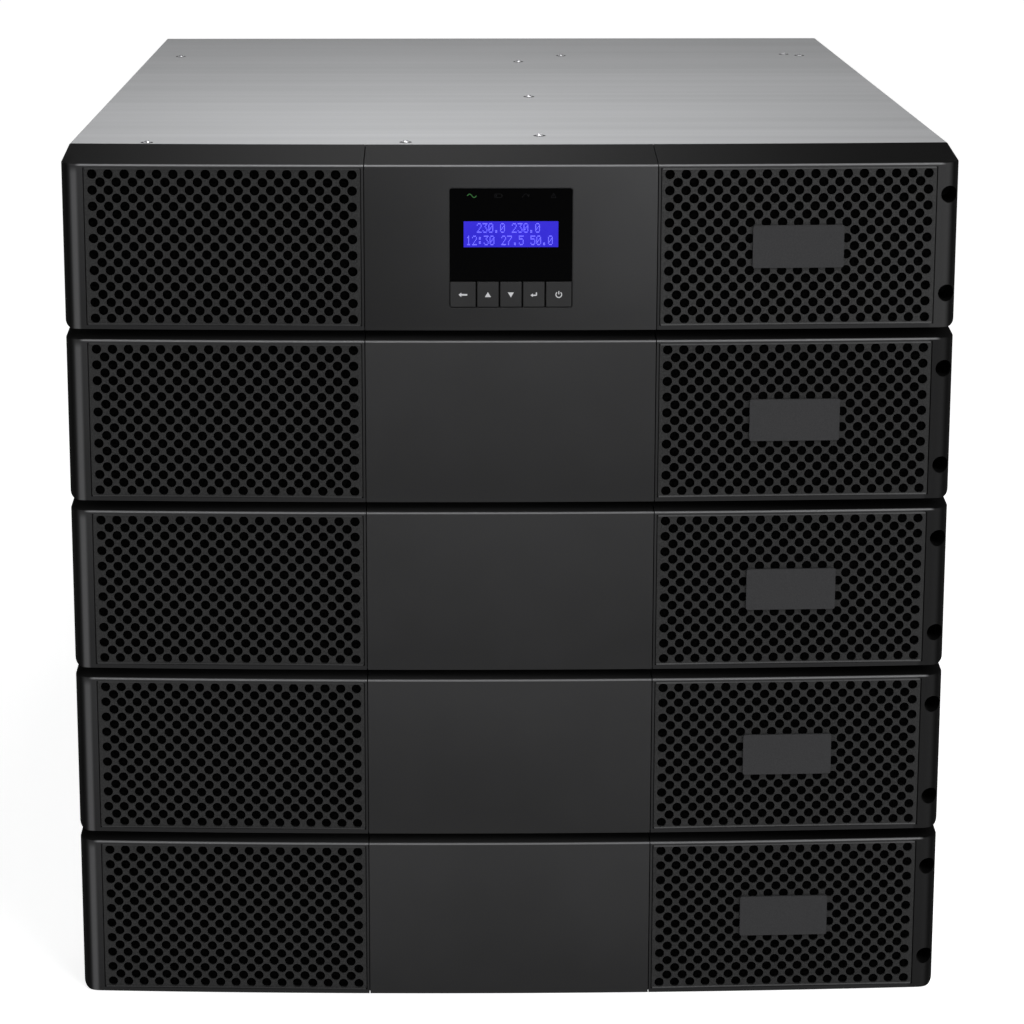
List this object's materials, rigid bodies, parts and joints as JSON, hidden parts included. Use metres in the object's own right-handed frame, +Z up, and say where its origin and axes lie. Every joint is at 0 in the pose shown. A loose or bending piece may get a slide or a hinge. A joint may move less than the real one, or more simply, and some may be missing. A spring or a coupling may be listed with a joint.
{
  "type": "online uninterruptible power supply with battery modules",
  "caption": "Rack-width online power supply module with a display and keys, stacked on matching battery modules with perforated bowed bezels and steel covers.",
  "frame": {"origin": "bottom centre of the stack's bounding box, on the surface it stands on", "axes": "+X to the right as seen from the front, +Y from the front to the back, +Z up"},
  "size_m": [0.438, 0.608, 0.4325],
  "materials": {
    "bezel_plastic": "fine matte texture",
    "panel_plastic": "smooth satin",
    "grille_steel": "satin powder coat",
    "badge_metal": "satin",
    "cover_steel": "zinc-coated, fine lines",
    "chassis_paint": "matte black powder coat",
    "connector_plastic": "moulded",
    "window_gloss": "polished",
    "lcd_blue": "backlit",
    "key_rubber": "satin"
  },
  "bodies": {
    "stack": {"badge_plates": "badge_metal", "battery_1_centre_panel": "panel_plastic", "battery_1_chassis": "chassis_paint", "battery_1_cover": "cover_steel", "battery_1_left_bezel": "bezel_plastic", "battery_1_left_grille": "grille_steel", "battery_1_right_bezel": "bezel_plastic", "battery_1_right_grille": "grille_steel", "battery_2_centre_panel": "panel_plastic", "battery_2_chassis": "chassis_paint", "battery_2_cover": "cover_steel", "battery_2_left_bezel": "bezel_plastic", "battery_2_left_grille": "grille_steel", "battery_2_right_bezel": "bezel_plastic", "battery_2_right_grille": "grille_steel", "battery_3_centre_panel": "panel_plastic", "battery_3_chassis": "chassis_paint", "battery_3_cover": "cover_steel", "battery_3_left_bezel": "bezel_plastic", "battery_3_left_grille": "grille_steel", "battery_3_right_bezel": "bezel_plastic", "battery_3_right_grille": "grille_steel", "battery_4_centre_panel": "panel_plastic", "battery_4_chassis": "chassis_paint", "battery_4_cover": "cover_steel", "battery_4_left_bezel": "bezel_plastic", "battery_4_left_grille": "grille_steel", "battery_4_right_bezel": "bezel_plastic", "battery_4_right_grille": "grille_steel", "connector_covers": "connector_plastic", "display_housing": "bezel_plastic", "display_window": "window_gloss", "lcd_screen": "lcd_blue", "power_centre_panel": "panel_plastic", "power_chassis": "chassis_paint", "power_cover": "cover_steel", "power_left_bezel": "bezel_plastic", "power_left_grille": "grille_steel", "power_right_bezel": "bezel_plastic", "power_right_grille": "grille_steel", "rear_vents": "cover_steel", "terminal_cover": "cover_steel"},
    "back_key_body": {"back_key": "key_rubber"},
    "up_key_body": {"up_key": "key_rubber"},
    "down_key_body": {"down_key": "key_rubber"},
    "enter_key_body": {"enter_key": "key_rubber"},
    "power_key_body": {"power_key": "key_rubber"}
  },
  "joints": [
    {"name": "back_key_press", "type": "slide", "parent": "stack", "child": "back_key_body", "axis": [0, 1, 0], "range_m": [0, 0.0008], "stiffness_N_per_m": 500},
    {"name": "up_key_press", "type": "slide", "parent": "stack", "child": "up_key_body", "axis": [0, 1, 0], "range_m": [0, 0.0008], "stiffness_N_per_m": 500},
    {"name": "down_key_press", "type": "slide", "parent": "stack", "child": "down_key_body", "axis": [0, 1, 0], "range_m": [0, 0.0008], "stiffness_N_per_m": 500},
    {"name": "enter_key_press", "type": "slide", "parent": "stack", "child": "enter_key_body", "axis": [0, 1, 0], "range_m": [0, 0.0008], "stiffness_N_per_m": 500},
    {"name": "power_key_press", "type": "slide", "parent": "stack", "child": "power_key_body", "axis": [0, 1, 0], "range_m": [0, 0.0008], "stiffness_N_per_m": 500}
  ]
}
